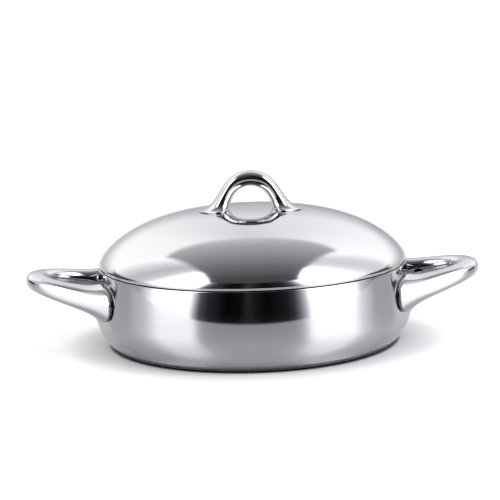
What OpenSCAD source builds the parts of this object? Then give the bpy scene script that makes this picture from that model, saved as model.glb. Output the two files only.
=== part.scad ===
// Low casserole in polished stainless steel, with a domed lid, two cast loop
// handles on the pot and a cast arch handle on the lid. Millimetres, +Z up.
// The origin is the middle of the underside, and the side handles lie along X.

/* [Pot] */
// Outside diameter of the pot at its rim
rim_d = 245.8; // [200:0.2:300]
// Height of the rim above the table
rim_h = 63.5; // [56:0.5:90]
// How far the belly stands out past the rim
belly_bulge = 3.8; // [1:0.1:8]
// Height of the widest part of the belly
belly_h = 27; // [22:0.5:34]
// How far the edge of the flat underside lies inside the rim
underside_inset = 10; // [6:0.5:18]
// Thickness of the drawn steel wall
wall = 1.4; // [1:0.1:2]
// Rounding on both edges of the rim
rim_round = 0.35; // [0.2:0.05:0.45]
// Radius inside the pot where the floor turns into the wall
floor_round = 12; // [6:0.5:14]

/* [Base] */
// Thickness of the magnetic steel cap
cap_t = 0.8; // [0.5:0.1:1.5]
// Thickness of the aluminium core
core_t = 4.5; // [3:0.1:7]

/* [Lid] */
// Thickness of the lid's steel sheet
lid_t = 1; // [0.8:0.1:1.3]
// Height of the dome above the lid's widest line
dome_rise = 41.2; // [30:0.2:60]
// Height of the edge that curls under onto the rim
curl_h = 2.6; // [2:0.1:4]
// Depth of the skirt that drops into the pot's mouth
skirt_h = 6; // [4:0.5:10]
// Clearance between the skirt and the pot's wall
skirt_gap = 0.9; // [0.5:0.1:1.5]

/* [Side handles] */
// How far the tip of a handle reaches past the rim
handle_reach = 58.8; // [52:0.2:75]
// How far the top of an arm lies below the rim, next to its foot
handle_drop = 9.2; // [7:0.1:14]
// How far the tip's top lies above the top of an arm at its foot
handle_rise = 6.6; // [0:0.1:9]
// Distance from the handle's middle line to the middle of an arm at its root
arm_y = 33.6; // [30:0.1:38]
// How far the root of a foot lies outside the middle of its arm
foot_spread = 3.2; // [0:0.1:9]
// Length over which an arm spreads into its foot
spread_l = 15.6; // [12:0.1:24]
// How far the top of a foot flares above the arm
foot_flare = 2.1; // [0:0.1:3]
// How far a foot's outer edge lies outside the middle of its root
foot_out = 24.2; // [17:0.1:27]
// Height of a foot without its flare
foot_tall = 27.2; // [22:0.2:32]
// Width of the web at the tip
web_w = 17.4; // [14:0.1:21]
// Thickness of the web at the tip
web_t = 13.2; // [8:0.1:15]
// Rounding along the edge of a cast foot
foot_lip = 1.1; // [0.6:0.1:2]
// Height of the groove between a side handle's foot and the wall
groove_h = 1.6; // [0.8:0.1:2]
// Depth of that groove, from the foot's edge to the neck that is welded on
groove_depth = 4; // [2:0.1:6]

/* [Lid handle] */
// Height of the arch above the top of the dome
arch_rise = 30.3; // [26:0.1:32]
// Thickness of the arch, seen from the front
arch_t = 12.2; // [9:0.1:13]
// Depth of the arch at its top, from front to back
arch_depth = 18; // [12:0.5:24]
// Outer radius of the arch's top bend
arch_r = 25.6; // [22:0.1:28]
// Angle of the arch's sides above level
arch_side = 57; // [52:1:62]
// Half the width of the opening at the dome
gap_half = 17.1; // [15:0.1:19]
// Distance from the middle to the tip of a foot
tongue_reach = 42.3; // [41:0.1:48]
// Thickness of a foot's tongue at its tip
tongue_t = 1.2; // [0.8:0.1:2]
// Depth of a foot from front to back
tongue_depth = 37; // [30:0.5:44]
// Radius of the hollow curve between a side and its tongue
flare_r = 14; // [10:0.5:16]

/* [Welds] */
// Diameter of a weld nugget
weld_d = 5; // [3:0.1:6]
// How far a nugget reaches into the steel sheet
weld_sheet = 0.5; // [0.3:0.05:0.6]
// How far a nugget reaches into a casting
weld_cast = 1.5; // [0.8:0.1:2.5]
// Distance between the two nuggets of a side handle's foot
weld_pitch = 16; // [8:0.5:20]

/* [Hidden] */
$fn = 96;

// Steps along the curves, and points around a casting's section
curve_steps = 14;
dome_steps = 26;
corner_steps = 5;
ring_points = 28;
arm_steps = 20;
arch_steps = 9;
side_steps = 3;
flare_steps = 8;

// Shape of the curves, as powers and shares of the sizes that they follow
underside_share = 0.94;
shoulder_share = 1.5;
dome_side_share = 2 / 2.74;
dome_top_share = 2 / 1.41;
curl_share = 0.57;
loop_share = 0.92;
loop_top_share = 1.42;
loop_low_share = 0.7;
section_share = 2 / 2.35;
arm_width_share = 2.4;
ring_place_share = 1.4;
opening_share = 0.84;
opening_place_share = 0.75;
tongue_egg_share = 0.5;
tongue_depth_share = 2.2;
tongue_corner_share = 0.75;
weld_place_share = 0.4;
sheet_round_share = 0.3;
lip_depth_shares = [0, 0.15, 0.5, 1];
lip_inset_shares = [1, 0.47, 0.13, 0];

// Depth by which a cut or a casting runs past the face that trims it
overrun = 2;

rim_r = rim_d / 2;
belly_r = rim_r + belly_bulge;
underside_r = rim_r - underside_inset;
shell_z = cap_t + core_t;
floor_z = shell_z + wall;

// Outer radius of the pot at a height
function low_r(z) =
    underside_r
    + (belly_r - underside_r)
    * pow(1 - pow((belly_h - max(z, 0)) / belly_h, 2), underside_share);
function high_r(z) =
    belly_r - belly_bulge * pow((z - belly_h) / (rim_h - belly_h), shoulder_share);
function pot_r(z) = z < belly_h ? low_r(z) : high_r(min(z, rim_h));

// Height of the dome's outer face at a distance from the lid's axis
widest_z = rim_h + curl_h;
dome_top_z = widest_z + dome_rise;
function dome_z(r) =
    widest_z
    + dome_rise * pow(1 - pow(min(r / rim_r, 1), 2 / dome_side_share), dome_top_share / 2);

function unit(v) = v / norm(v);
function mix(a, b, share) = a + (b - a) * share;

// A path moved to its left by a distance
function moved(path, distance) = [
    for (i = [0:len(path) - 1])
        let (run = unit(path[min(i + 1, len(path) - 1)] - path[max(i - 1, 0)]))
            path[i] + distance * [-run[1], run[0]]
];

// The arc that rounds the corner b between the points a and c
function arc(a, b, c, r) =
    let (
        u = unit(a - b),
        v = unit(c - b),
        half = acos(u * v) / 2,
        middle = b + unit(u + v) * r / sin(half),
        from = b + u * r / tan(half) - middle,
        turn = (180 - 2 * half) * sign(cross(b - a, c - b)),
        start = atan2(from[1], from[0])
    )
    [for (i = [0:corner_steps]) middle + r * [
        cos(start + turn * i / corner_steps),
        sin(start + turn * i / corner_steps)
    ]];

// The pot's outer face as seen in section, from a height up to the rim
low_path = [
    for (i = [0:curve_steps])
        let (turn = 90 * i / curve_steps)
            [low_r(belly_h * (1 - cos(turn))), belly_h * (1 - cos(turn))]
];
high_path = [
    for (i = [1:curve_steps])
        let (z = mix(belly_h, rim_h, i / curve_steps)) [high_r(z), z]
];
face_path = concat(low_path, high_path);
function reversed(path) = [for (i = [len(path) - 1:-1:0]) path[i]];
function above(path, z) = [for (p = path) if (p[1] > z) p];
function below(path, z) = [for (p = path) if (p[1] < z) p];

// The inner face follows the outer one at the wall's thickness
inner_path = moved(face_path, wall);
inner_table = [for (p = inner_path) [p[1], p[0]]];
function inner_r(z) = lookup(z, inner_table);

// A casting skinned over rings of points, closed at its first and last ring
module casting(rings) {
    count = len(rings[0]);
    last = len(rings) - 1;
    sides = [
        for (i = [0:last - 1])
            for (k = [0:count - 1])
                let (
                    a = i * count + k,
                    b = i * count + (k + 1) % count,
                    c = a + count,
                    d = b + count
                )
                each [[a, b, c], [b, d, c]]
    ];
    ends = [
        for (k = [1:count - 2])
            each [[0, k + 1, k], [last * count, last * count + k, last * count + k + 1]]
    ];
    polyhedron(points = [for (ring = rings) each ring], faces = concat(sides, ends));
}

// The space inside the pot's outer face, which trims what is welded to it
module pot_outside() {
    rotate_extrude()
        polygon(concat([[0, 0]], face_path, [[0, rim_h]]));
}

// Drawn steel shell: a flat bottom on the core, a rounded wall and a plain rim
module pot_body() {
    slope_z = floor_z + floor_round / 2;
    slope_p = [inner_r(slope_z), slope_z];
    corner = [inner_r(floor_z), floor_z];
    rim_in = [rim_r - wall, rim_h];
    color("gainsboro")
        difference() {
            rotate_extrude()
                polygon(concat(
                    [[0, shell_z], [pot_r(shell_z), shell_z]],
                    above(below(face_path, rim_h - rim_round), shell_z),
                    arc([high_r(rim_h - rim_round), rim_h - rim_round * 2], [rim_r, rim_h], rim_in, rim_round),
                    arc([rim_r, rim_h], rim_in, [rim_in[0], floor_z], rim_round),
                    reversed(above(below(inner_path, rim_h - rim_round * 2), slope_z)),
                    arc(slope_p, corner, [0, floor_z], floor_round),
                    [[0, floor_z]]
                ));
            side_welds(1);
            side_welds(-1);
        }
}

// Aluminium disc between the shell's bottom and the cap
module base_core() {
    core_path = moved(below(face_path, shell_z), cap_t);
    core_r = pot_r(shell_z) - cap_t;
    color("silver")
        rotate_extrude()
            polygon(concat(
                [[0, cap_t], [lookup(cap_t, [for (p = core_path) [p[1], p[0]]]), cap_t]],
                above(below(core_path, shell_z), cap_t),
                [[core_r, shell_z], [0, shell_z]]
            ));
}

// Magnetic steel cap, pressed over the core and flush with the shell
module base_cap() {
    color("lightgray")
        difference() {
            rotate_extrude()
                polygon(concat(
                    [[0, 0]],
                    below(face_path, shell_z),
                    [[pot_r(shell_z), shell_z], [0, shell_z]]
                ));
            base_core();
        }
}

// Section of a casting: a rounded oval, as a pair of shares for each point
function bulge(value) = sign(value) * pow(abs(value), section_share);
oval = [
    for (k = [0:ring_points - 1])
        [bulge(cos(360 * k / ring_points)), bulge(sin(360 * k / ring_points))]
];

// The side handle's levels, and where its feet and the web at its tip lie
foot_top_z = rim_h - handle_drop;
foot_low_z = foot_top_z - foot_tall;
foot_mid_z = (foot_top_z + foot_low_z) / 2;
tip_top_z = foot_top_z + handle_rise;
tip_low_z = tip_top_z - web_t;
tip_x = rim_r + handle_reach - web_w / 2;
foot_y = arm_y + foot_spread;
foot_mid_y = foot_y + (foot_out - web_w / 2 - foot_spread) / 2;
foot_x = sqrt(pow(pot_r(foot_mid_z), 2) - pow(foot_y, 2));
loop_l = tip_x - foot_x;

// A ring around the loop: turn is 90 at the foot on a side and 0 at the tip.
// At the foot it follows the wall, which it stands off by a distance, and it is
// drawn in by an inset. Further out it lies square to the loop.
function loop_ring(side, turn, distance, inset) =
    let (
        share = pow(cos(turn), loop_share),
        run = loop_l * share,
        spread = pow(max(0, 1 - run / spread_l), 2),
        half_out = mix(web_w / 2, foot_out, pow(1 - share, arm_width_share)) - inset,
        half_in = web_w / 2 + foot_spread * spread - inset,
        top_z = foot_top_z + handle_rise * pow(share, loop_top_share) + foot_flare * spread,
        low_z = mix(foot_low_z, tip_low_z, pow(share, loop_low_share)),
        middle_z = (top_z + low_z) / 2,
        half_t = (top_z - low_z) / 2 - inset,
        middle_x = foot_x + run,
        middle_y = arm_y * pow(sin(turn), loop_share) + foot_spread * spread,
        out = unit([
            pow(cos(turn), 2 - loop_share) / loop_l,
            pow(sin(turn), 2 - loop_share) / arm_y
        ])
    )
    [
        for (p = oval)
            let (
                beside = p[0] * (p[0] > 0 ? half_out : half_in),
                x = middle_x + beside * out[0],
                y = middle_y + beside * out[1],
                z = middle_z + half_t * p[1],
                wall_x = run + sqrt(pow(pot_r(z) + distance, 2) - y * y)
            )
            [run < spread_l ? mix(x, wall_x, spread) : x, side * y, z]
    ];

// One arm's rings, from inside the wall, along the neck and the groove, over the
// rounded lip and towards the tip, closer together next to the foot
function arm_rings(side) = concat(
    [for (distance = [-overrun, groove_h]) loop_ring(side, 90, distance, groove_depth)],
    [
        for (i = [0:len(lip_depth_shares) - 1])
            loop_ring(
                side, 90,
                groove_h + foot_lip * lip_depth_shares[i],
                foot_lip * lip_inset_shares[i]
            )
    ],
    [
        for (i = [1:arm_steps - 1])
            loop_ring(side, 90 * (1 - pow(i / arm_steps, ring_place_share)), groove_h + foot_lip, 0)
    ]
);

// Weld nuggets between the feet and the wall, on the side that end names
module side_welds(end) {
    foot_turn = asin(foot_mid_y / pot_r(foot_mid_z));
    pitch_turn = weld_pitch / pot_r(foot_mid_z) * 180 / PI;
    color("darkgray")
        for (foot = [-1, 1])
            for (spot = [-1, 1])
                rotate([0, 0, (end < 0 ? 180 : 0) + foot * foot_turn + spot * pitch_turn / 2])
                    translate([pot_r(foot_mid_z) - weld_sheet, 0, foot_mid_z])
                        rotate([0, 90, 0])
                            cylinder(h = weld_sheet + weld_cast, d = weld_d);
}

// Cast steel loop with two broad feet that follow the wall
module side_handle(end) {
    color("whitesmoke")
        difference() {
            rotate([0, 0, end < 0 ? 180 : 0])
                casting(concat(
                    arm_rings(-1),
                    [loop_ring(1, 0, 0, 0)],
                    reversed(arm_rings(1))
                ));
            pot_outside();
            side_welds(end);
        }
}
module left_handle() {
    side_handle(-1);
}
module right_handle() {
    side_handle(1);
}
module left_handle_welds() {
    side_welds(-1);
}
module right_handle_welds() {
    side_welds(1);
}

// The lid's outer face as seen in section, from its top to its widest line,
// and the edge that curls under from there to the rim
dome_path = [
    for (i = [0:dome_steps])
        let (turn = 90 * i / dome_steps) [
            rim_r * pow(sin(turn), dome_side_share),
            widest_z + dome_rise * pow(cos(turn), dome_top_share)
        ]
];
curl_w = wall * curl_share;
curl_path = [
    for (i = [1:corner_steps])
        let (turn = 90 * i / corner_steps)
            [rim_r - curl_w * (1 - cos(turn)), widest_z - curl_h * sin(turn)]
];

// Steel lid, drawn in one piece: dome, curled edge, seat and skirt
module lid_dome() {
    skirt_r = rim_r - wall - skirt_gap;
    skirt_in_r = skirt_r - lid_t;
    skirt_z = rim_h - skirt_h;
    edge_round = lid_t * sheet_round_share;
    inner_dome = [for (p = moved(dome_path, -lid_t)) [max(p[0], 0), p[1]]];
    color("gainsboro")
        difference() {
            rotate_extrude()
                polygon(concat(
                    dome_path,
                    curl_path,
                    arc([rim_r, rim_h], [skirt_r, rim_h], [skirt_r, skirt_z], edge_round),
                    arc([skirt_r, rim_h], [skirt_r, skirt_z], [skirt_in_r, skirt_z], edge_round),
                    arc([skirt_r, skirt_z], [skirt_in_r, skirt_z], [skirt_in_r, rim_h], edge_round),
                    arc([skirt_in_r, skirt_z], [skirt_in_r, rim_h + lid_t], [rim_r, rim_h + lid_t], edge_round),
                    [[rim_r - lid_t, rim_h + lid_t]],
                    reversed(inner_dome)
                ));
            lid_handle_welds();
        }
}

// The space under the dome's outer face, which trims the lid's handle
module dome_inside() {
    rotate_extrude()
        polygon(concat([[0, rim_h]], dome_path, [[rim_r, rim_h]]));
}

// Outlines of the arch seen from the front, from its top to a foot
arch_top_z = dome_top_z + arch_rise;
outer_arc = [
    for (i = [0:arch_steps])
        let (turn = arch_side * i / arch_steps)
            [arch_r * sin(turn), arch_top_z - arch_r * (1 - cos(turn))]
];
side_start = outer_arc[arch_steps];
tongue_tip = [tongue_reach, dome_z(tongue_reach) + tongue_t];
tongue_z = dome_z(tongue_reach * tongue_corner_share) + tongue_t;
tongue_corner = [side_start[0] + (side_start[1] - tongue_z) / tan(arch_side), tongue_z];
flare_arc = arc(side_start, tongue_corner, tongue_tip, flare_r);
outer_side = [
    for (i = [1:side_steps - 1]) mix(side_start, flare_arc[0], i / side_steps)
];
flare_end = flare_arc[corner_steps];
tongue_line = [
    for (i = [1:flare_steps - corner_steps])
        mix(flare_end, tongue_tip, i / (flare_steps - corner_steps))
];
outer_line = concat(outer_arc, outer_side, flare_arc, tongue_line);

// The opening is the upper part of an oval, as wide as the gap at the dome
arch_last = arch_steps + side_steps + flare_steps;
opening_turn = 90 * opening_share;
opening_top_z = arch_top_z - arch_t;
opening_low_z = dome_z(gap_half) + tongue_t;
opening_half = gap_half / sin(opening_turn);
opening_tall = (opening_top_z - opening_low_z) / (1 - cos(opening_turn));
opening_line = [
    for (i = [0:arch_last])
        let (turn = opening_turn * pow(i / arch_last, opening_place_share))
            [opening_half * sin(turn), opening_top_z - opening_tall * (1 - cos(turn))]
];

// A ring around the arch: place counts from 0 at the top to the last at a foot,
// where the ring lies on the dome at a distance and is drawn in by an inset
function arch_ring(side, place, distance, inset) =
    let (
        outer = outer_line[place],
        inner = opening_line[place],
        middle = (outer + inner) / 2,
        half = (outer - inner) / 2,
        drawn_in = 1 - inset / norm(half),
        share = place / arch_last,
        laid = pow(max(place - arch_steps - side_steps, 0) / flare_steps, 3),
        egg = tongue_egg_share * share * share,
        depth = mix(arch_depth, tongue_depth, pow(share, tongue_depth_share)) / 2 - inset
    )
    [
        for (p = oval)
            let (
                x = middle[0] + half[0] * drawn_in * p[0],
                y = depth * p[1] * (1 - egg * p[0]),
                z = middle[1] + half[1] * drawn_in * p[0]
            )
            [side * x, y, mix(z, dome_z(norm([x, y])) + distance, laid)]
    ];
function foot_rings(side) = concat(
    [arch_ring(side, arch_last, -overrun, tongue_t / 2)],
    [arch_ring(side, arch_last, 0, tongue_t / 2)],
    [arch_ring(side, arch_last, tongue_t / 2, tongue_t / 8)],
    [for (i = [0:arch_last - 1]) arch_ring(side, arch_last - i, tongue_t, 0)]
);

// Weld nuggets between the arch's feet and the dome
module lid_handle_welds() {
    weld_x = mix(gap_half, tongue_reach, weld_place_share);
    color("darkgray")
        for (side = [-1, 1])
            translate([side * weld_x, 0, dome_z(weld_x) - weld_sheet])
                cylinder(h = weld_sheet + weld_cast, d = weld_d);
}

// Cast steel arch, with feet that flare into tongues on the dome
module lid_handle() {
    color("whitesmoke")
        difference() {
            casting(concat(
                foot_rings(-1),
                [arch_ring(1, 0, 0, 0)],
                reversed(foot_rings(1))
            ));
            dome_inside();
            lid_handle_welds();
        }
}

pot_body();
base_core();
base_cap();
left_handle();
right_handle();
left_handle_welds();
right_handle_welds();
lid_dome();
lid_handle();
lid_handle_welds();
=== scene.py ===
# A low stainless steel casserole with a domed lid and cast loop handles, photographed on a
# white table. The sections follow the order in which it is put together. Lengths are written
# in millimetres and turned to metres by MM.
import math

import bmesh
import bpy
from mathutils import Matrix, Vector


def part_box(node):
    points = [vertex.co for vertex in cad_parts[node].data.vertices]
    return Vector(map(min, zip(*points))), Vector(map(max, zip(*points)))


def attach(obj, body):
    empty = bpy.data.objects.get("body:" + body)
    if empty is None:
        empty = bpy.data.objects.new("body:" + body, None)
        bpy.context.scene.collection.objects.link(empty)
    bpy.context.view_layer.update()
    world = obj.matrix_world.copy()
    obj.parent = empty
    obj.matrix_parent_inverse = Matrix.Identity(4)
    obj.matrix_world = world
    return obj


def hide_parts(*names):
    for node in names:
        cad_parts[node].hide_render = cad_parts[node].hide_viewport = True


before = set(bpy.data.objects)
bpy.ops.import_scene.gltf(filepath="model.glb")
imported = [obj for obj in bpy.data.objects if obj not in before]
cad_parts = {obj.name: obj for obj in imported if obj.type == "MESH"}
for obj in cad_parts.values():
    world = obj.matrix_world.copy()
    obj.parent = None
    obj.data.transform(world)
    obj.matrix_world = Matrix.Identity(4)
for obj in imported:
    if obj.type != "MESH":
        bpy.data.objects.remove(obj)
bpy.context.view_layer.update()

# Camera
# A long lens looks down on the lid from a little above the table. The pot is turned one
# degree to it, and the picture leans a little, as a hand-set tripod head does.
MM = 0.001
picture_px = 500
lens_px = 1887.172
sensor = 36.0
shot_distance = 1515.1 * MM
shot_target = Vector((-1.585, 0.0, 73.011)) * MM
shot_tilt = math.radians(10.267)
shot_roll = math.radians(-1.734)
pot_turn = math.radians(1.16)

camera_data = bpy.data.cameras.new("long_lens")
camera_data.sensor_width = sensor
camera_data.lens = lens_px * sensor / picture_px
camera_data.clip_end = 100.0
camera = bpy.data.objects.new("camera", camera_data)
camera.matrix_world = (
    Matrix.Rotation(-pot_turn, 4, "Z")
    @ Matrix.Translation(shot_target)
    @ Matrix.Rotation(math.pi / 2 - shot_tilt, 4, "X")
    @ Matrix.Rotation(shot_roll, 4, "Z")
    @ Matrix.Translation((0.0, 0.0, shot_distance))
)
bpy.context.scene.collection.objects.link(camera)
bpy.context.scene.camera = camera


# Base core
# A disc of rolled aluminium spreads the heat under the pot. It is closed in between the
# drawn shell and the steel cap, so only its dull, faintly grained face would ever show.
def colour(code):
    """An sRGB hex colour as the linear one that shaders take."""
    shares = [int(code[i:i + 2], 16) / 255 for i in (1, 3, 5)]
    linear = [s / 12.92 if s <= 0.04045 else ((s + 0.055) / 1.055) ** 2.4 for s in shares]
    return (*linear, 1.0)


def add(tree, kind, inputs=None, **settings):
    """Adds a node with its settings, and sets or links its inputs."""
    made = tree.nodes.new(kind)
    for name, value in settings.items():
        setattr(made, name, value)
    for name, value in (inputs or {}).items():
        if isinstance(value, bpy.types.NodeSocket):
            tree.links.new(value, made.inputs[name])
        else:
            made.inputs[name].default_value = value
    return made


def metal(name, code, anisotropic=0.0):
    """A bare metal's material, its node tree and its shader."""
    material = bpy.data.materials.new(name)
    material.use_nodes = True
    tree = material.node_tree
    shader = tree.nodes["Principled BSDF"]
    shader.inputs["Base Color"].default_value = colour(code)
    shader.inputs["Metallic"].default_value = 1.0
    shader.inputs["Anisotropic"].default_value = anisotropic
    return material, tree, shader


def vary_roughness(tree, shader, noise, least, most):
    """Lets the middle of a noise's range run a metal's roughness from least to most.

    The socket's own value is for a viewer that reads no nodes.
    """
    haze = {"Value": noise, "From Min": noise_low, "From Max": noise_high}
    haze.update({"To Min": least, "To Max": most})
    haze = add(tree, "ShaderNodeMapRange", haze).outputs["Result"]
    tree.links.new(haze, shader.inputs["Roughness"])
    shader.inputs["Roughness"].default_value = (least + most) / 2


noise_low = 0.3
noise_high = 0.7
# Rolling leaves a soft, slightly mottled sheen. The real grain is finer, and is drawn
# coarser so that it can show.
rolled_grain = 0.9 * MM
aluminium, tree, shader = metal("rolled_aluminium", "#CDCFD0")
place = add(tree, "ShaderNodeTexCoord").outputs["Object"]
grain = add(tree, "ShaderNodeTexNoise", {"Vector": place, "Scale": 1 / rolled_grain}).outputs["Fac"]
vary_roughness(tree, shader, grain, 0.34, 0.46)
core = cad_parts["base_core"]
core.data.materials.clear()
core.data.materials.append(aluminium)


# Base cap
# A thin cup of magnetic steel, pressed over the core so that induction rings can heat it.
# Its underside is turned flat and rises a little at the edge. Its side is buffed together
# with the pot's wall, so that the joint hardly shows.
def mix(a, b, share):
    """The value that lies a share of the way from a to b."""
    return a + (b - a) * share


def fillet(a, b, c, radius, steps=8):
    """The arc that rounds the corner b between the points a and c."""
    a, b, c = Vector(a), Vector(b), Vector(c)
    to_a = (a - b).normalized()
    to_c = (c - b).normalized()
    half = to_a.angle(to_c) / 2
    middle = b + (to_a + to_c).normalized() * (radius / math.sin(half))
    start = b + to_a * (radius / math.tan(half)) - middle
    end = b + to_c * (radius / math.tan(half)) - middle
    swing = math.pi - 2 * half
    points = []
    for i in range(steps + 1):
        share = i / steps
        arm = start * math.sin((1 - share) * swing) + end * math.sin(share * swing)
        points.append(middle + arm / math.sin(swing))
    return [(p.x, p.y) for p in points]


def revolve_tree():
    """Geometry nodes that turn a profile in the XZ plane about the Z axis."""
    tree = bpy.data.node_groups.new("turned_piece", "GeometryNodeTree")
    face = tree.interface
    face.new_socket("Geometry", in_out="INPUT", socket_type="NodeSocketGeometry")
    face.new_socket("Columns", in_out="INPUT", socket_type="NodeSocketInt")
    face.new_socket("Join Distance", in_out="INPUT", socket_type="NodeSocketFloat")
    face.new_socket("Material", in_out="INPUT", socket_type="NodeSocketMaterial")
    face.new_socket("Geometry", in_out="OUTPUT", socket_type="NodeSocketGeometry")
    given = add(tree, "NodeGroupInput").outputs
    size = add(tree, "GeometryNodeAttributeDomainSize", {"Geometry": given["Geometry"]})
    rows = size.outputs["Point Count"]
    wide = add(tree, "ShaderNodeMath", {0: given["Columns"], 1: 1.0}, operation="ADD")
    grid = add(tree, "GeometryNodeMeshGrid", {"Vertices X": wide.outputs[0], "Vertices Y": rows})
    index = add(tree, "GeometryNodeInputIndex").outputs[0]
    row = add(tree, "ShaderNodeMath", {0: index, 1: rows}, operation="FLOORED_MODULO")
    column = add(tree, "ShaderNodeMath", {0: index, 1: rows}, operation="DIVIDE")
    column = add(tree, "ShaderNodeMath", {0: column.outputs[0]}, operation="FLOOR")
    share = add(tree, "ShaderNodeMath", {0: column.outputs[0], 1: given["Columns"]}, operation="DIVIDE")
    turn = add(tree, "ShaderNodeMath", {0: share.outputs[0], 1: 2 * math.pi}, operation="MULTIPLY")
    place = add(tree, "GeometryNodeInputPosition").outputs[0]
    picked = {"Geometry": given["Geometry"], "Value": place, "Index": row.outputs[0]}
    profile = add(tree, "GeometryNodeSampleIndex", picked, data_type="FLOAT_VECTOR")
    swung = {"Vector": profile.outputs[0], "Angle": turn.outputs[0]}
    point = add(tree, "ShaderNodeVectorRotate", swung, rotation_type="Z_AXIS")
    laid = {"Geometry": grid.outputs["Mesh"], "Position": point.outputs[0]}
    skin = add(tree, "GeometryNodeSetPosition", laid).outputs[0]
    joined = {"Geometry": skin, "Distance": given["Join Distance"]}
    skin = add(tree, "GeometryNodeMergeByDistance", joined).outputs[0]
    skin = add(tree, "GeometryNodeRealizeInstances", {"Geometry": skin}).outputs[0]
    done = {"Geometry": skin, "Material": given["Material"]}
    done = add(tree, "GeometryNodeSetMaterial", done).outputs[0]
    add(tree, "NodeGroupOutput", {"Geometry": done})
    return tree


def outward(mesh):
    """Merges doubles, points the faces outwards and shades them smooth."""
    work = bmesh.new()
    work.from_mesh(mesh)
    bmesh.ops.remove_doubles(work, verts=work.verts, dist=join_distance)
    bmesh.ops.recalc_face_normals(work, faces=work.faces)
    for face in work.faces:
        face.smooth = True
    work.to_mesh(mesh)
    work.free()


def turned(name, profile, material, columns=288):
    """A solid turned from a profile of (radius, height) points that ends on the axis."""
    mesh = bpy.data.meshes.new(name + "_profile")
    points = [(r * MM, 0.0, z * MM) for r, z in profile]
    mesh.from_pydata(points, [(i, i + 1) for i in range(len(points) - 1)], [])
    piece = bpy.data.objects.new(name, mesh)
    bpy.context.scene.collection.objects.link(piece)
    maker = piece.modifiers.new("turning", "NODES")
    maker.node_group = turning
    sockets = {item.name: item.identifier for item in turning.interface.items_tree
               if item.in_out == "INPUT"}
    maker[sockets["Columns"]] = columns
    maker[sockets["Join Distance"]] = join_distance
    maker[sockets["Material"]] = material
    made = piece.evaluated_get(bpy.context.evaluated_depsgraph_get())
    solid = bpy.data.meshes.new_from_object(made)
    piece.modifiers.remove(maker)
    piece.data = solid
    solid.name = name
    outward(solid)
    return piece


def around(tree):
    """Coordinates of (distance from the axis, height), so that a pattern runs around it."""
    place = add(tree, "ShaderNodeTexCoord").outputs["Object"]
    flat = add(tree, "ShaderNodeVectorMath", {0: place, 1: (1.0, 1.0, 0.0)}, operation="MULTIPLY")
    radius = add(tree, "ShaderNodeVectorMath", {0: flat.outputs[0]}, operation="LENGTH")
    height = add(tree, "ShaderNodeSeparateXYZ", {0: place}).outputs["Z"]
    made = {"X": radius.outputs["Value"], "Y": height}
    return add(tree, "ShaderNodeCombineXYZ", made).outputs[0]


def buff(tree, shader, least, most):
    """Buffs a metal around the axis: fine lines, and reflections blurred across them."""
    lines = {"Vector": around(tree), "Scale": 1 / buffing_lines}
    lines = add(tree, "ShaderNodeTexNoise", lines).outputs["Fac"]
    vary_roughness(tree, shader, lines, least, most)
    ridges = {"Height": lines, "Strength": buffed_strength, "Distance": ridge_h}
    tree.links.new(add(tree, "ShaderNodeBump", ridges).outputs[0], shader.inputs["Normal"])
    tangent = add(tree, "ShaderNodeTangent", direction_type="RADIAL", axis="Z")
    tree.links.new(tangent.outputs[0], shader.inputs["Tangent"])


turning = revolve_tree()
join_distance = 0.001 * MM
belly_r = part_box("pot_body")[1].x / MM
rim_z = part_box("pot_body")[1].z / MM
rim_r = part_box("lid_dome")[1].x / MM
joint_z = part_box("base_cap")[1].z / MM
cap_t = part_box("base_core")[0].z / MM
belly_z = 27.0
underside_inset = 10.0
underside_r = rim_r - underside_inset
underside_power = 0.94
shoulder_power = 1.5
foot_rise = 1.0
foot_step = 8.0
edge_break = 0.6
edge_rows = 2
seam_round = 0.1
seam_steps = 4
cap_rows = 24


def wall_r(z):
    """Radius of the pot's outer face at a height."""
    if z < belly_z:
        curve = (1 - (1 - max(z, 0) / belly_z) ** 2) ** underside_power
        return underside_r + (belly_r - underside_r) * curve
    return belly_r - (belly_r - rim_r) * ((z - belly_z) / (rim_z - belly_z)) ** shoulder_power


def wall_points(low, high, count):
    """Points of the outer face between two heights, closer together near the underside."""
    start = math.sqrt(low / belly_z)
    end = math.sqrt(high / belly_z)
    heights = [belly_z * mix(start, end, i / count) ** 2 for i in range(count + 1)]
    return [(wall_r(z), z) for z in heights]


low_wall = wall_points(foot_rise, joint_z - seam_round, cap_rows)
core_wall = [(r - cap_t, z) for r, z in low_wall if z > cap_t]
cap_profile = [(0.0, 0.0), (underside_r - foot_step, 0.0)]
cap_profile += fillet(cap_profile[-1], low_wall[0], low_wall[edge_rows], edge_break)
cap_profile += low_wall[edge_rows:]
seam = (wall_r(joint_z), joint_z)
cap_profile += fillet(low_wall[-2], seam, (0.0, joint_z), seam_round, seam_steps)
cap_profile += [(wall_r(joint_z) - cap_t, joint_z)]
cap_profile += core_wall[::-1] + [(core_wall[0][0], cap_t), (0.0, cap_t)]
# A lathe tool leaves rings that catch the light. Real ones are a few tenths of a millimetre
# apart, and are drawn coarser so that they can show.
turning_marks = 1.1 * MM
turned_strength = 0.25
ridge_h = 0.01 * MM
underside_steel, tree, shader = metal("turned_magnetic_steel", "#B9B9BA")
marks = {"Vector": around(tree), "Scale": 1 / turning_marks, "Detail": 3.0}
marks = add(tree, "ShaderNodeTexNoise", marks).outputs["Fac"]
vary_roughness(tree, shader, marks, 0.18, 0.3)
ridges = {"Height": marks, "Strength": turned_strength, "Distance": ridge_h}
tree.links.new(add(tree, "ShaderNodeBump", ridges).outputs[0], shader.inputs["Normal"])
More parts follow.
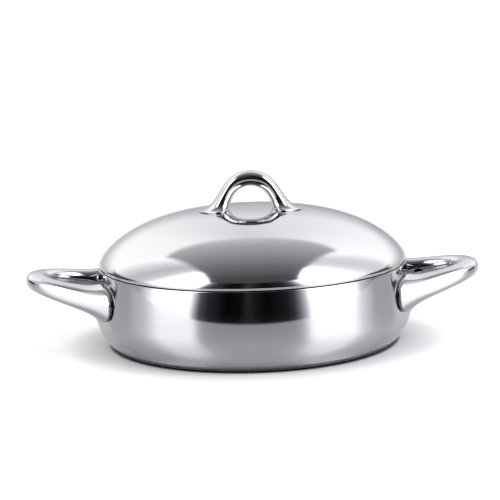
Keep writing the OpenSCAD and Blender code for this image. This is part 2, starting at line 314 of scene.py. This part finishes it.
# A buffing wheel leaves a bright face with hairlines around the pot. They too are drawn
# coarser than the real ones.
buffing_lines = 0.8 * MM
buffed_strength = 0.08
buffed_steel, tree, shader = metal("buffed_stainless_steel", "#C7C7C8", anisotropic=0.3)
buff(tree, shader, 0.045, 0.075)
cap = turned("steel_cap", cap_profile, underside_steel)
cap.data.materials.append(buffed_steel)
# The underside is left as turned, and the side above its edge is buffed.
for face in cap.data.polygons:
    face.material_index = 1 if face.center.z > foot_rise * MM else 0
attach(cap, "pot")
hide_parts("base_cap")

# Pot shell
# One disc of stainless steel, drawn into a low wall with a full belly and a plain rim.
# It is buffed around the axis, so that reflections blur a little up and down the wall.
wall_t = 1.4
rim_round = 0.35
floor_round = 12.0
floor_z = joint_z + wall_t
seam_row = 3.0
shell_rows = 150
floor_bend_steps = 24
floor_bend_share = 1.3
floor_rows = 12
outer_end_z = rim_z - 2 * rim_round
inner_end_z = rim_z - 3 * rim_round

outer = wall_points(joint_z + seam_round, outer_end_z, shell_rows)
inner = []
for i in range(1, len(outer) - 1):
    along = (Vector(outer[i + 1]) - Vector(outer[i - 1])).normalized()
    inner.append((outer[i][0] - wall_t * along.y, outer[i][1] + wall_t * along.x))
inner = [p for p in inner if p[1] < inner_end_z]
bend_end = next(p for p in inner if p[1] > floor_z + floor_round / 2)
inner_low = next(p for p in inner if p[1] > floor_z)
shell_profile = [(0.0, joint_z), (wall_r(joint_z) - seam_row, joint_z)]
shell_profile += fillet((0.0, joint_z), seam, outer[1], seam_round, seam_steps)
shell_profile += outer[1:]
shell_profile += fillet(outer[-1], (rim_r, rim_z), (rim_r - wall_t, rim_z), rim_round)
shell_profile += fillet((rim_r, rim_z), (rim_r - wall_t, rim_z), inner[-1], rim_round)
shell_profile += [p for p in inner[::-1] if p[1] > bend_end[1]]
floor_corner = (inner_low[0], floor_z)
shell_profile += fillet(bend_end, floor_corner, (0.0, floor_z), floor_round, floor_bend_steps)
floor_edge_r = inner_low[0] - floor_bend_share * floor_round
shell_profile += [(mix(floor_edge_r, 0.0, i / floor_rows), floor_z) for i in range(floor_rows + 1)]
shell = turned("pot_shell", shell_profile, buffed_steel)
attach(shell, "pot")
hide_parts("pot_body")

# Side handles
# Two loops cast in stainless steel and polished bright. Each arm widens into a broad foot
# that is welded to the wall and follows it. The foot's rounded lip stands off the wall by a
# groove, which shows as a dark crescent.
tip_top_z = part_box("right_handle")[1].z / MM
foot_low_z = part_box("right_handle")[0].z / MM
handle_drop = 9.2
foot_top_z = rim_z - handle_drop
foot_flare = 2.1
foot_out = 24.2
foot_spread = 3.2
groove_h = 1.6
groove_depth = 4.0
lip_round = 1.1
spread_l = 15.6
arm_y = 33.6
web_w = 17.4
web_t = 13.2
ring_points = 72
arm_rings = 84
lip_rings = 7
sink = 0.3
spacing_power = 1.4
low_taper = 1.9
top_taper = 4.0
rise_power = 1.42
fall_power = 0.7
loop_power = 0.92
out_power = 2 - loop_power
# Each of these is two over an oval's fullness, which is 2 for an ellipse and more for a
# squarer one.
crown_power = 2 / 2.8
belly_power = 2 / 2.0
foot_crown = 2 / 2.05
foot_belly = 2 / 2.6
tip_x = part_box("right_handle")[1].x / MM - web_w / 2
tip_low_z = tip_top_z - web_t
foot_y = arm_y + foot_spread
foot_x = math.sqrt(wall_r((foot_top_z + foot_low_z) / 2) ** 2 - foot_y ** 2)
loop_l = tip_x - foot_x


def bulge(value, power):
    """A value raised to a power that keeps its sign."""
    return math.copysign(abs(value) ** power, value)


def section(upper, lower):
    """An oval of half sizes one, with its own fullness above and below the middle."""
    points = []
    for k in range(ring_points):
        turn = 2 * math.pi * k / ring_points
        power = upper if math.sin(turn) > 0 else lower
        points.append((bulge(math.cos(turn), power), bulge(math.sin(turn), power)))
    return points


def loop_ring(side, turn, off_wall, inset):
    """A section of the loop: turn is a quarter at a foot and nothing at the tip."""
    cos_turn = max(math.cos(turn), 0.0)
    sin_turn = math.sin(turn)
    share = cos_turn ** loop_power
    run = loop_l * share
    flare = max(0.0, 1 - run / spread_l) ** 2
    half_in = web_w / 2 + foot_spread * flare - inset
    top_z = mix(foot_top_z, tip_top_z, share ** rise_power) + foot_flare * flare
    low_z = mix(foot_low_z, tip_low_z, share ** fall_power)
    half_t = (top_z - low_z) / 2 - inset
    middle_y = arm_y * sin_turn ** loop_power + foot_spread * flare
    out = Vector((cos_turn ** out_power / loop_l, sin_turn ** out_power / arm_y))
    out.normalize()
    upper = mix(crown_power, foot_crown, flare)
    lower = mix(belly_power, foot_belly, flare)
    ring = []
    for wide, high in section(upper, lower):
        taper = (1 - share) ** mix(low_taper, top_taper, (high + 1) / 2)
        half_out = mix(web_w / 2, foot_out, taper) - inset
        beside = wide * (half_out if wide > 0 else half_in)
        x = foot_x + run + beside * out.x
        y = middle_y + beside * out.y
        z = (top_z + low_z) / 2 + half_t * high
        wall_x = run + math.sqrt((wall_r(z) + off_wall) ** 2 - y * y)
        ring.append((mix(x, wall_x, flare), side * y, z))
    return ring


def lip_shares(count):
    """How far a rounded lip stands off and draws in, from where it is welded outwards."""
    turns = [math.pi / 2 * i / (count - 1) for i in range(count)]
    return [(1 - math.cos(turn), 1 - math.sin(turn)) for turn in turns]


def cast(name, rings, end_points, material):
    """A casting skinned over rings of points, with each end closed around a point."""
    count = len(rings[0])
    points = [p for ring in rings for p in ring] + list(end_points)
    faces = []
    for i in range(len(rings) - 1):
        for k in range(count):
            a, b = i * count + k, i * count + (k + 1) % count
            faces.append((a, b, b + count, a + count))
    ends = ((0, len(points) - 2), ((len(rings) - 1) * count, len(points) - 1))
    for first, middle in ends:
        faces += [(first + k, first + (k + 1) % count, middle) for k in range(count)]
    mesh = bpy.data.meshes.new(name)
    mesh.from_pydata([Vector(p) * MM for p in points], [], faces)
    mesh.materials.append(material)
    outward(mesh)
    piece = bpy.data.objects.new(name, mesh)
    bpy.context.scene.collection.objects.link(piece)
    return piece


def arm(side):
    """One arm's sections, from inside the wall over neck, groove and lip towards the tip."""
    root = math.pi / 2
    rings = [loop_ring(side, root, off_wall, groove_depth) for off_wall in (-sink, groove_h)]
    for stand, inset in lip_shares(lip_rings):
        rings.append(loop_ring(side, root, groove_h + lip_round * stand, lip_round * inset))
    for i in range(1, arm_rings):
        turn = root * (1 - (i / arm_rings) ** spacing_power)
        rings.append(loop_ring(side, turn, groove_h + lip_round, 0.0))
    return rings


# Hand polishing a casting leaves long low waves that bend its mirror image, and a faint haze
# where the wheel stayed longer.
polish_haze = 7.0 * MM
polish_waves = 22.0 * MM
wave_strength = 0.5
wave_h = 0.12 * MM
cast_steel, tree, shader = metal("polished_cast_stainless_steel", "#C6C6C7")
place = add(tree, "ShaderNodeTexCoord").outputs["Object"]
haze = add(tree, "ShaderNodeTexNoise", {"Vector": place, "Scale": 1 / polish_haze}).outputs["Fac"]
vary_roughness(tree, shader, haze, 0.03, 0.07)
waves = {"Vector": place, "Scale": 1 / polish_waves, "Detail": 1.0}
waves = add(tree, "ShaderNodeTexNoise", waves).outputs["Fac"]
waves = {"Height": waves, "Strength": wave_strength, "Distance": wave_h}
tree.links.new(add(tree, "ShaderNodeBump", waves).outputs[0], shader.inputs["Normal"])
loop = arm(-1) + [loop_ring(1, 0.0, 0.0, 0.0)] + arm(1)[::-1]
foot_z = (foot_top_z + foot_low_z) / 2
seat_r = wall_r(foot_z) - sink
seats = [(math.sqrt(seat_r ** 2 - foot_y ** 2), side * foot_y, foot_z) for side in (-1, 1)]
for end, name in ((1, "right"), (-1, "left")):
    rings = [[(end * x, end * y, z) for x, y, z in ring] for ring in loop]
    middles = [(end * x, end * y, z) for x, y, z in seats]
    handle = cast(name + "_loop", rings, middles, cast_steel)
    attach(handle, "pot")
    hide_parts(name + "_handle")

# Weld nuggets
# Where the current passed, casting and sheet are fused in small discs of darker steel,
# which set dull and unevenly grained. They lie inside the metal and show on neither side.
nugget_grain = 0.5 * MM
weld_steel, tree, shader = metal("fused_steel", "#8E8C89")
place = add(tree, "ShaderNodeTexCoord").outputs["Object"]
grain = add(tree, "ShaderNodeTexNoise", {"Vector": place, "Scale": 1 / nugget_grain}).outputs["Fac"]
vary_roughness(tree, shader, grain, 0.42, 0.6)
for name in ("left_handle_welds", "right_handle_welds", "lid_handle_welds"):
    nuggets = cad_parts[name]
    nuggets.data.materials.clear()
    nuggets.data.materials.append(weld_steel)

# Lid
# Stainless sheet drawn into a dome, with an edge that curls under onto the rim and a
# skirt that drops into the mouth. It is buffed around the axis like the pot.
sheet_t = 1.0
curl_h = 2.6
bead_h = 1.7
bead_w = 0.5
lip_in = 1.1
seat_gap = 0.9
skirt_round = 0.3
curl_steps = 12
dome_steps = 140
dome_side = 2.74
dome_crown = 1.41
dome_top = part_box("lid_dome")[1].z / MM
skirt_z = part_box("lid_dome")[0].z / MM
widest_z = rim_z + curl_h
skirt_r = rim_r - wall_t - seat_gap
skirt_in = skirt_r - sheet_t


def dome_z(r):
    """Height of the dome's outer face at a distance from the axis."""
    share = (1 - min(r / rim_r, 1) ** dome_side) ** (1 / dome_crown)
    return widest_z + (dome_top - widest_z) * share


dome = []
for i in range(dome_steps + 1):
    turn = math.pi / 2 * i / dome_steps
    high = (dome_top - widest_z) * max(math.cos(turn), 0.0) ** (2 / dome_crown)
    dome.append((rim_r * math.sin(turn) ** (2 / dome_side), widest_z + high))
curl = []
for i in range(1, curl_steps + 1):
    turn = math.pi / 2 * i / curl_steps
    curl.append((rim_r - bead_w * (1 - math.cos(turn)), widest_z - bead_h * math.sin(turn)))
curl.append((rim_r - lip_in, rim_z))
under = []
for i in range(1, dome_steps):
    along = (Vector(dome[i + 1]) - Vector(dome[i - 1])).normalized()
    under.append((dome[i][0] + sheet_t * along.y, dome[i][1] - sheet_t * along.x))
lid_profile = dome + curl
lid_profile += fillet(curl[-1], (skirt_r, rim_z), (skirt_r, skirt_z), skirt_round)
lid_profile += fillet((skirt_r, rim_z), (skirt_r, skirt_z), (skirt_in, skirt_z), skirt_round)
lid_profile += fillet((skirt_r, skirt_z), (skirt_in, skirt_z), (skirt_in, rim_z), skirt_round)
seat_top = rim_z + sheet_t
seat_end = (rim_r - sheet_t, seat_top)
lid_profile += fillet((skirt_in, skirt_z), (skirt_in, seat_top), seat_end, skirt_round)
lid_profile += [seat_end] + [p for p in under[::-1] if p[0] > 0] + [(0.0, dome_top - sheet_t)]
# A softer wheel leaves the lid a little paler and hazier than the pot, so that it mirrors the
# room in broader tones.
lid_steel, tree, shader = metal("polished_stainless_steel", "#CDCDCE", anisotropic=0.25)
buff(tree, shader, 0.06, 0.10)
lid = turned("lid_shell", lid_profile, lid_steel)
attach(lid, "lid")
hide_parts("lid_dome")

# Lid handle
# An arch cast like the side handles. Its legs flare out into thin tongues that lie on the
# dome, and it is resistance welded to the sheet through them. A seam stays open under their
# edge and shows as a fine dark line.
arch_t = 12.2
arch_depth = 18.0
arch_r = 25.6
arch_side = math.radians(57)
gap_half = 17.1
opening_turn = math.radians(75.6)
opening_power = 0.75
tongue_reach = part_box("lid_handle")[1].x / MM
tongue_t = 1.2
tongue_depth = 37.0
tongue_egg = 0.3
egg_power = 6
spread_power = 2.2
laid_power = 3
leg_lean = 0.17
knee_share = 0.75
line_passes = 24
seam_h = 0.5
seam_depth = 2.0
flare_r = 14.0
arch_steps = 36
side_steps = 12
flare_steps = 32
corner_steps = 20
edge_steps = 3
edge_rings = 7
arch_power = 2 / 2.35
arch_oval = section(arch_power, arch_power)
arch_last = arch_steps + side_steps + flare_steps
arch_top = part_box("lid_handle")[1].z / MM

bend = []
for i in range(arch_steps + 1):
    turn = arch_side * i / arch_steps
    bend.append(Vector((arch_r * math.sin(turn), arch_top - arch_r * (1 - math.cos(turn)))))
tip = Vector((tongue_reach, dome_z(tongue_reach) + tongue_t))
knee_z = dome_z(knee_share * tongue_reach) + tongue_t
knee = Vector((bend[-1].x + (bend[-1].y - knee_z) / math.tan(arch_side), knee_z))
hollow = [Vector(p) for p in fillet(bend[-1], knee, tip, flare_r, corner_steps)]
side_line = [bend[-1].lerp(hollow[0], i / side_steps) for i in range(1, side_steps)]
last_steps = flare_steps - corner_steps
tongue_line = [hollow[-1].lerp(tip, i / last_steps) for i in range(1, last_steps + 1)]
outer_line = bend + side_line + hollow + tongue_line
# Each pass draws the points halfway to the middle of their neighbours, so that the polish
# runs on over the bends without a kink. The arch's top has its mirrored point for neighbour.
for _ in range(line_passes):
    before = [Vector((-outer_line[1].x, outer_line[1].y))] + outer_line
    triples = zip(before, outer_line, outer_line[1:])
    eased = [a.lerp(b, 0.5).lerp(p, 0.5) for a, p, b in triples]
    outer_line = eased + outer_line[-1:]

opening_top = arch_top - arch_t
opening_low = dome_z(gap_half) + tongue_t
opening_half = gap_half / math.sin(opening_turn)
opening_tall = (opening_top - opening_low) / (1 - math.cos(opening_turn))


def arch_ring(side, place, off_dome, inset):
    """A section of the arch: place counts from its top to its last at a tongue's edge."""
    share = place / arch_last
    whole = min(int(place), arch_last - 1)
    outside = outer_line[whole].lerp(outer_line[whole + 1], place - whole)
    turn = opening_turn * share ** opening_power
    inside_z = opening_top - opening_tall * (1 - math.cos(turn))
    inside = Vector((opening_half * math.sin(turn), inside_z))
    middle = (outside + inside) / 2
    half = (outside - inside) / 2
    half *= 1 - inset / half.length
    laid = (max(place - arch_steps - side_steps, 0) / flare_steps) ** laid_power
    depth = mix(arch_depth, tongue_depth, share ** spread_power) / 2 - inset
    lean = leg_lean * math.sin(math.pi * share) ** 2 - tongue_egg * share ** egg_power
    ring = []
    for wide, high in arch_oval:
        x = middle.x + half.x * wide
        y = depth * high * (1 + lean * wide)
        z = middle.y + half.y * wide
        ring.append((side * x, y, mix(z, dome_z(math.hypot(x, y)) + off_dome, laid)))
    return ring


def leg(side):
    """One leg's sections, from inside the dome over the seam and the tongue towards the top."""
    rings = [arch_ring(side, arch_last, height, seam_depth) for height in (-sink, seam_h)]
    for i in range(edge_rings):
        turn = math.pi / 2 * i / (edge_rings - 1)
        height = mix(seam_h, tongue_t, math.sin(turn))
        rings.append(arch_ring(side, arch_last - edge_steps * (1 - math.cos(turn)), height, 0.0))
    for place in range(arch_last - edge_steps - 1, 0, -1):
        rings.append(arch_ring(side, place, tongue_t, 0.0))
    return rings


arch = leg(-1) + [arch_ring(1, 0, 0.0, 0.0)] + leg(1)[::-1]
seat_x = (gap_half + tongue_reach) / 2
seats = [(side * seat_x, 0.0, dome_z(seat_x) - sink) for side in (-1, 1)]
arch_handle = cast("lid_arch", arch, seats, cast_steel)
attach(arch_handle, "lid")
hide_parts("lid_handle")

# Table
# A pale laminate table top with a high gloss, wide enough to fill the view. The lens sees it
# as paper white, darker where the pot keeps the light off it and where shade is painted around
# the pot's foot; the steel sees it greyer, with the soft boxes mirrored in its gloss.
table_side = 12.0
table_front = 1.25
lens_lift = 0.52
# Painted shade: how far around the pot's foot the lens's white lift is dimmed, and how strongly.
foot_shade = 35 * MM
foot_depth = 1.5
# Painted shade: reach and strength of the black contact shadow painted where the pot meets the table.
contact_shade = 3.2 * MM
contact_depth = 1.5
laminate = bpy.data.materials.new("gloss_laminate")
laminate.use_nodes = True
tree = laminate.node_tree
shader = tree.nodes["Principled BSDF"]
shader.inputs["Roughness"].default_value = 0.28
shader.inputs["IOR"].default_value = 1.8
shader.inputs["Emission Color"].default_value = colour("#FFFFFF")
# Shade is painted onto the table twice: broadly around the pot's foot, where the lens's white
# lift is dimmed, and in the last few millimetres, where the lift is dimmed again and the
# table's colour is painted darker, down to black.
path = add(tree, "ShaderNodeLightPath").outputs
lift = {0: path["Is Camera Ray"], 1: lens_lift}
lift = add(tree, "ShaderNodeMath", lift, operation="MULTIPLY").outputs[0]
# Painted shade: the lens's white lift is dimmed where the pot closes the table off within foot_shade.
open_sky = add(tree, "ShaderNodeAmbientOcclusion", {"Distance": foot_shade}).outputs["AO"]
open_sky = add(tree, "ShaderNodeMath", {0: open_sky, 1: foot_depth}, operation="POWER").outputs[0]
lift = add(tree, "ShaderNodeMath", {0: lift, 1: open_sky}, operation="MULTIPLY").outputs[0]
# Painted shade: close to the pot the lift is dimmed again and the table's colour is mixed towards
# black.
contact_shade_mask = add(tree, "ShaderNodeAmbientOcclusion", {"Distance": contact_shade}).outputs["AO"]
contact_shade_mask = add(tree, "ShaderNodeMath", {0: contact_shade_mask, 1: contact_depth}, operation="POWER").outputs[0]
lift = add(tree, "ShaderNodeMath", {0: lift, 1: contact_shade_mask}, operation="MULTIPLY").outputs[0]
painted_shade_colour = {"Factor": contact_shade_mask, 6: colour("#000000"), 7: colour("#C4C4C4")}
painted_shade_colour = add(tree, "ShaderNodeMix", painted_shade_colour, data_type="RGBA").outputs[2]
tree.links.new(painted_shade_colour, shader.inputs["Base Color"])
tree.links.new(lift, shader.inputs["Emission Strength"])
tree.links.new(path["Is Glossy Ray"], shader.inputs["Specular IOR Level"])
mesh = bpy.data.meshes.new("table")
near = [(-table_side, -table_front, 0.0), (table_side, -table_front, 0.0)]
far = [(table_side, table_side, 0.0), (-table_side, table_side, 0.0)]
mesh.from_pydata(near + far, [], [(0, 1, 2, 3)])
mesh.materials.append(laminate)
table = bpy.data.objects.new("table", mesh)
bpy.context.scene.collection.objects.link(table)

# Studio
# A light tent: soft boxes fill its left and right walls, the back is lit white, and the top
# falls off towards the front, which is open to a dark room. Only the steel shows this room.
brightest = 5.0
cool = (1.01, 0.985, 1.045)
warm = (1.02, 0.99, 1.0)
dusk = (0.97, 0.99, 1.25)
wall_levels = [
    (-180, 1.05, cool), (-160, 1.45, warm), (-132, 1.6, warm), (-122, 1.15, cool), (-108, 0.8, cool),
    (-95, 0.95, cool), (-87, 1.4, cool), (-80, 2.6, cool), (-74, 4.0, cool), (-46, 4.0, cool),
    (-42, 1.3, cool), (-39, 0.25, dusk), (-33, 0.06, dusk), (-20, 0.004, dusk), (-10, 0.01, dusk),
    (-5, 0.06, cool), (0, 0.025, cool), (9, 0.005, dusk), (24, 0.03, dusk), (30, 0.12, dusk),
    (34, 0.5, dusk), (39, 1.8, cool), (44, 5.0, cool),
    (80, 5.0, cool), (88, 2.2, cool), (96, 1.35, cool), (108, 1.03, cool), (120, 1.1, cool),
    (132, 1.65, warm), (160, 1.35, cool), (180, 1.05, cool),
]
top_levels = [
    (-0.75, 0.085, cool), (-0.4, 0.1, cool), (0.0, 0.235, cool), (0.3, 0.42, cool),
    (0.6, 0.62, cool), (0.8, 0.83, cool), (1.1, 1.0, cool),
]
least_rise = 0.05
top_half = 0.44
top_flare = 0.4
top_soft = 0.05
top_edge = math.radians(50)
top_edge_soft = math.radians(2)
splay_top = 0.14
splay_left = (0.94, 1.02)
splay_right = (1.05, 1.1)
splay_end = (0.16, 0.4)
low_share = 0.45
low_top = math.radians(22)
gap_turn = math.radians(117)
gap_wide = math.radians(16)
gap_top = math.radians(15)
gap_soft = 0.3
gap_top_soft = 0.2
gap_share = 0.12


def room_light(tree, along, levels):
    """The light at a place along the room, among levels of (place, strength, tint)."""
    low, high = levels[0][0], levels[-1][0]
    share = add(tree, "ShaderNodeMapRange", {"Value": along, "From Min": low, "From Max": high})
    made = add(tree, "ShaderNodeValToRGB", {"Fac": share.outputs["Result"]})
    stops = made.color_ramp.elements
    while len(stops) < len(levels):
        stops.new(1.0)
    for stop, (at, level, tint) in zip(stops, levels):
        stop.position = (at - low) / (high - low)
        stop.color = (*[level / brightest * part for part in tint], 1.0)
    return made.outputs["Color"]


world = bpy.data.worlds.new("light_tent")
bpy.context.scene.world = world
world.use_nodes = True
tree = world.node_tree
tree.nodes.clear()
# A ray's turn around the pot: nothing towards the lens and a half turn behind. Near the table
# it is stretched or drawn in, so that the soft boxes' edges lean where the wall mirrors them.
way = add(tree, "ShaderNodeTexCoord").outputs["Generated"]
axes = add(tree, "ShaderNodeSeparateXYZ", {0: way}).outputs
ahead = add(tree, "ShaderNodeMath", {0: axes["Y"], 1: -1.0}, operation="MULTIPLY").outputs[0]
swing = add(tree, "ShaderNodeMath", {0: axes["X"], 1: ahead}, operation="ARCTAN2").outputs[0]
right = add(tree, "ShaderNodeMath", {0: swing, 1: 0.0}, operation="GREATER_THAN").outputs[0]
sides = []
for at_table, at_top in (splay_left, splay_right):
    laid = {"Value": axes["Z"], "From Max": splay_top, "To Min": at_table, "To Max": at_top}
    sides.append(add(tree, "ShaderNodeMapRange", laid).outputs["Result"])
splay = add(tree, "ShaderNodeMix", {"Factor": right, "A": sides[0], "B": sides[1]}).outputs["Result"]
even = {"Value": axes["Z"], "From Min": splay_end[0], "From Max": splay_end[1]}
even = add(tree, "ShaderNodeMapRange", even, interpolation_type="SMOOTHSTEP").outputs["Result"]
splay = add(tree, "ShaderNodeMix", {"Factor": even, "A": splay, "B": 1.0}).outputs["Result"]
swing = add(tree, "ShaderNodeMath", {0: swing, 1: splay}, operation="MULTIPLY").outputs[0]
wall_turns = [(math.radians(at), level, tint) for at, level, tint in wall_levels]
walls = room_light(tree, swing, wall_turns)
# The top is a sheet overhead, narrow above the pot and flaring out to the front and back.
rise = add(tree, "ShaderNodeMath", {0: axes["Z"], 1: least_rise}, operation="MAXIMUM").outputs[0]
back = add(tree, "ShaderNodeMath", {0: axes["Y"], 1: rise}, operation="DIVIDE").outputs[0]
aside = add(tree, "ShaderNodeMath", {0: axes["X"], 1: rise}, operation="DIVIDE").outputs[0]
aside = add(tree, "ShaderNodeMath", {0: aside}, operation="ABSOLUTE").outputs[0]
top = room_light(tree, back, top_levels)
flare = add(tree, "ShaderNodeMath", {0: back, 1: back}, operation="MULTIPLY").outputs[0]
edge = {0: flare, 1: top_flare, 2: top_half}
edge = add(tree, "ShaderNodeMath", edge, operation="MULTIPLY_ADD").outputs[0]
inside = add(tree, "ShaderNodeMath", {0: edge, 1: aside}, operation="SUBTRACT").outputs[0]
inside = {"Value": inside, "From Min": -top_soft, "From Max": top_soft}
inside = add(tree, "ShaderNodeMapRange", inside, interpolation_type="SMOOTHSTEP").outputs["Result"]
above = {"Value": axes["Z"]}
above["From Min"] = math.sin(top_edge - top_edge_soft)
above["From Max"] = math.sin(top_edge + top_edge_soft)
above = add(tree, "ShaderNodeMapRange", above, interpolation_type="SMOOTHSTEP").outputs["Result"]
# The walls fall off towards the table, and a low gap between the soft boxes and the back is
# dimmer still.
dim = {"Value": axes["Z"], "From Min": 0.0, "From Max": math.sin(low_top), "To Min": low_share}
dim = add(tree, "ShaderNodeMapRange", dim, interpolation_type="SMOOTHSTEP").outputs["Result"]
away = add(tree, "ShaderNodeMath", {0: swing}, operation="ABSOLUTE").outputs[0]
away = add(tree, "ShaderNodeMath", {0: away, 1: gap_turn}, operation="SUBTRACT").outputs[0]
away = add(tree, "ShaderNodeMath", {0: away}, operation="ABSOLUTE").outputs[0]
beside = {"Value": away}
beside["From Min"] = (1 - gap_soft) * gap_wide
beside["From Max"] = (1 + gap_soft) * gap_wide
beside = add(tree, "ShaderNodeMapRange", beside, interpolation_type="SMOOTHSTEP").outputs["Result"]
higher = {"Value": axes["Z"]}
higher["From Min"] = math.sin((1 - gap_top_soft) * gap_top)
higher["From Max"] = math.sin((1 + gap_top_soft) * gap_top)
higher = add(tree, "ShaderNodeMapRange", higher, interpolation_type="SMOOTHSTEP").outputs["Result"]
gap = add(tree, "ShaderNodeMath", {0: beside, 1: higher}, operation="MAXIMUM").outputs[0]
gap = add(tree, "ShaderNodeMapRange", {"Value": gap, "To Min": gap_share}).outputs["Result"]
dim = add(tree, "ShaderNodeMath", {0: dim, 1: gap}, operation="MULTIPLY").outputs[0]
walls = add(tree, "ShaderNodeVectorMath", {0: walls, 1: dim}, operation="MULTIPLY").outputs[0]
overhead = add(tree, "ShaderNodeMath", {0: inside, 1: above}, operation="MULTIPLY").outputs[0]
room = add(tree, "ShaderNodeMix", {"Factor": overhead, 6: walls, 7: top}, data_type="RGBA").outputs[2]
# The lens sees white behind the table, while the steel mirrors the room.
in_steel = add(tree, "ShaderNodeBackground", {"Color": room, "Strength": brightest}).outputs[0]
to_lens = add(tree, "ShaderNodeBackground", {"Color": colour("#FFFFFF"), "Strength": 1.0}).outputs[0]
seen = add(tree, "ShaderNodeLightPath").outputs["Is Camera Ray"]
shown = add(tree, "ShaderNodeMixShader", {0: seen, 1: in_steel, 2: to_lens}).outputs[0]
add(tree, "ShaderNodeOutputWorld", {"Surface": shown})
bpy.context.scene.view_settings.view_transform = "Standard"
